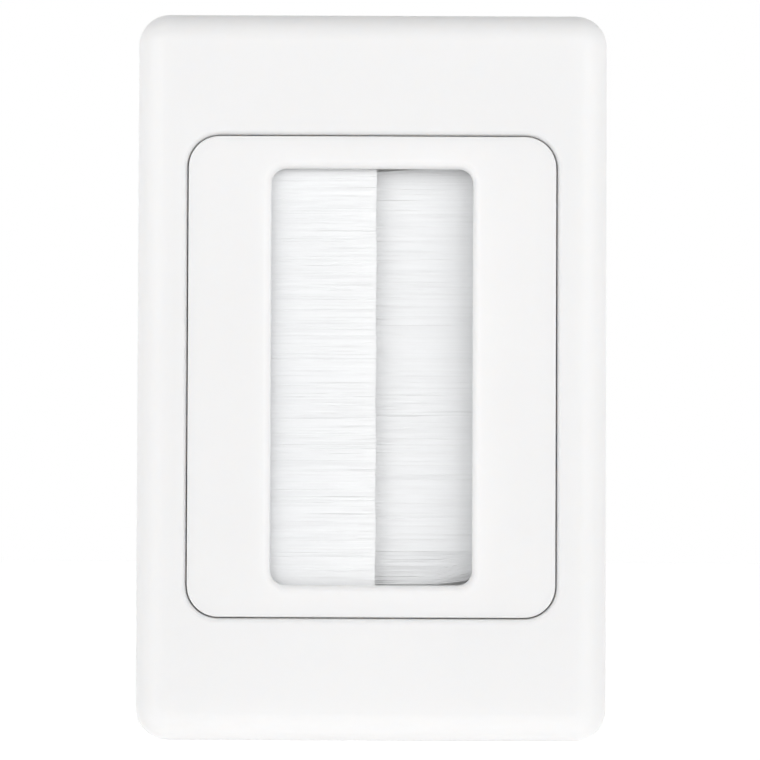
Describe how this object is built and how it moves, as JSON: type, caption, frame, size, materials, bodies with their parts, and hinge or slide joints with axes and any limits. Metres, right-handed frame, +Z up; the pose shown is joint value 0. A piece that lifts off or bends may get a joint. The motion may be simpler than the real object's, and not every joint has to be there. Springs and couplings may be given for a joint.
{
  "type": "brush wall plate",
  "caption": "White cable wall plate: a clip-on surround over a grid plate with a tall rounded opening closed by overlapping strip brushes.",
  "frame": {"origin": "centre of the wall plane, midway between the two wall screw holes", "axes": "+X to the right and +Z up as seen from the room, +Y into the wall, so the plate faces -Y"},
  "size_m": [0.075, 0.0131, 0.116],
  "materials": {
    "surround_plastic": "satin white moulding",
    "grid_plastic": "satin white moulding",
    "clamp_plastic": "matt white moulding",
    "channel_metal": "rolled, unpolished",
    "wire_steel": "drawn wire",
    "bristle_nylon": "soft white filaments",
    "screw_steel": "zinc plated"
  },
  "bodies": {
    "root": {"surround": "surround_plastic", "grid_plate": "grid_plastic", "clamp_frame": "clamp_plastic", "left_brush_channel": "channel_metal", "left_brush_wire": "wire_steel", "left_brush_bristles": "bristle_nylon", "right_brush_channel": "channel_metal", "right_brush_wire": "wire_steel", "right_brush_bristles": "bristle_nylon", "clamp_screw_upper_left": "screw_steel", "clamp_screw_upper_right": "screw_steel", "clamp_screw_lower_left": "screw_steel", "clamp_screw_lower_right": "screw_steel"}
  },
  "joints": []
}
